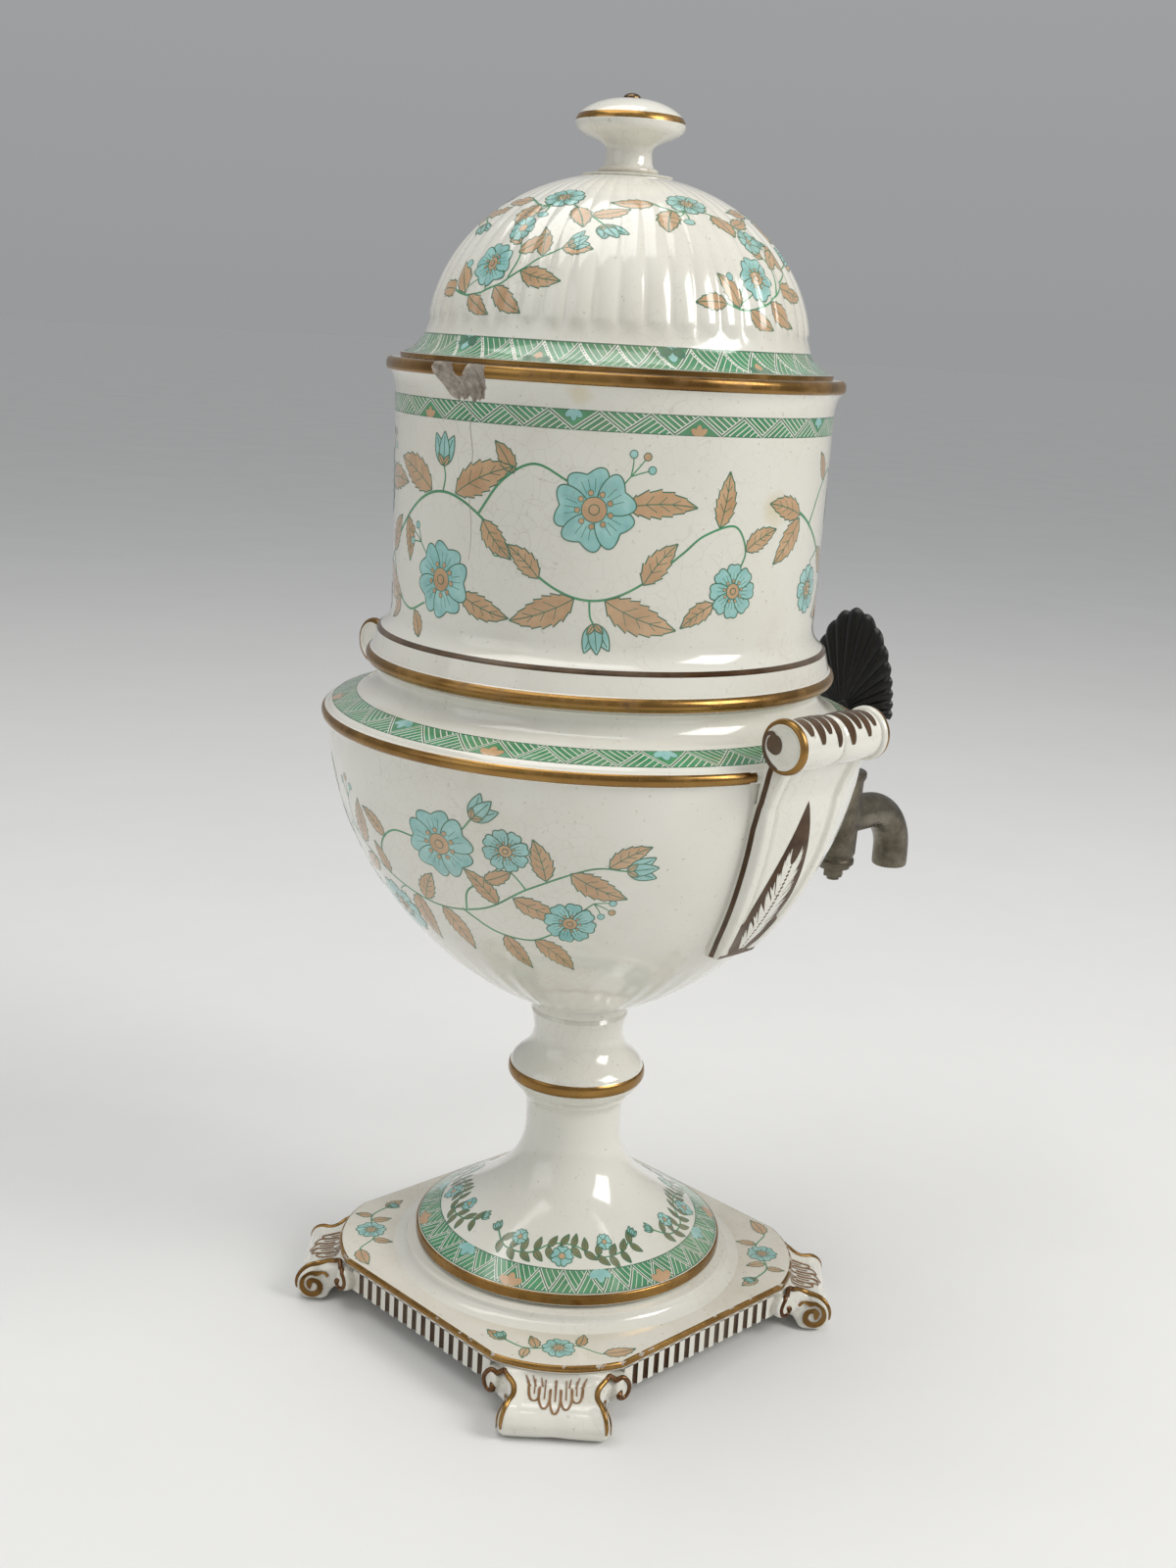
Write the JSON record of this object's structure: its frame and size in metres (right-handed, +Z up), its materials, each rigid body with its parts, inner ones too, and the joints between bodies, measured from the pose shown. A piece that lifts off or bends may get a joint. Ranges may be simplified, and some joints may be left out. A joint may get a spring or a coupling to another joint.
{
  "type": "tea urn",
  "caption": "Two-tier glazed tea urn: pedestal bowl with roll handles and a plug tap, lift-off brewing vessel with strainer, and a reeded domed lid with a bolted knob.",
  "frame": {"origin": "middle of the base on the table plane, on the urn's upright axis", "axes": "+Z up, +X along the tap's shank towards the spout, +Y towards the left handle"},
  "size_m": [0.2979, 0.2324, 0.4503],
  "materials": {
    "ivory_glaze": "glossy",
    "tap_metal": "dull patina",
    "iron": "matte",
    "leather": "matte",
    "ebonised": "satin"
  },
  "bodies": {
    "urn": {"plinth": "ivory_glaze", "scroll_foot_1": "ivory_glaze", "scroll_foot_2": "ivory_glaze", "scroll_foot_3": "ivory_glaze", "scroll_foot_4": "ivory_glaze", "pedestal_bed": "leather", "pedestal": "ivory_glaze", "bowl_seat_washer": "leather", "bowl": "ivory_glaze", "handle_left": "ivory_glaze", "handle_right": "ivory_glaze", "tie_rod": "iron", "tie_head_washer": "leather", "tie_foot_washer": "iron", "tie_nut": "iron", "tap_body": "tap_metal", "tap_outer_washer": "leather", "tap_inner_washer": "leather", "tap_back_nut": "tap_metal"},
    "vessel": {"upper_vessel": "ivory_glaze"},
    "strainer": {"strainer": "ivory_glaze", "strainer_knob": "tap_metal"},
    "lid": {"lid": "ivory_glaze", "lid_knob": "ivory_glaze", "knob_bolt": "tap_metal", "knob_washer": "leather", "knob_nut": "iron"},
    "tap_key": {"tap_plug": "tap_metal", "plug_washer": "tap_metal", "plug_nut": "tap_metal", "shell_handle": "ebonised", "handle_pin": "iron"}
  },
  "joints": [
    {"name": "vessel_lift", "type": "slide", "parent": "urn", "child": "vessel", "axis": [0, 0, 1], "range_m": [0, 0.12]},
    {"name": "strainer_lift", "type": "slide", "parent": "vessel", "child": "strainer", "axis": [0, 0, 1], "range_m": [0, 0.11]},
    {"name": "lid_lift", "type": "slide", "parent": "vessel", "child": "lid", "axis": [0, 0, 1], "range_m": [0, 0.1]},
    {"name": "tap_turn", "type": "hinge", "parent": "urn", "child": "tap_key", "pos_m": [0.15, 0, 0.1742], "axis": [0, 0, 1], "continuous": true}
  ]
}
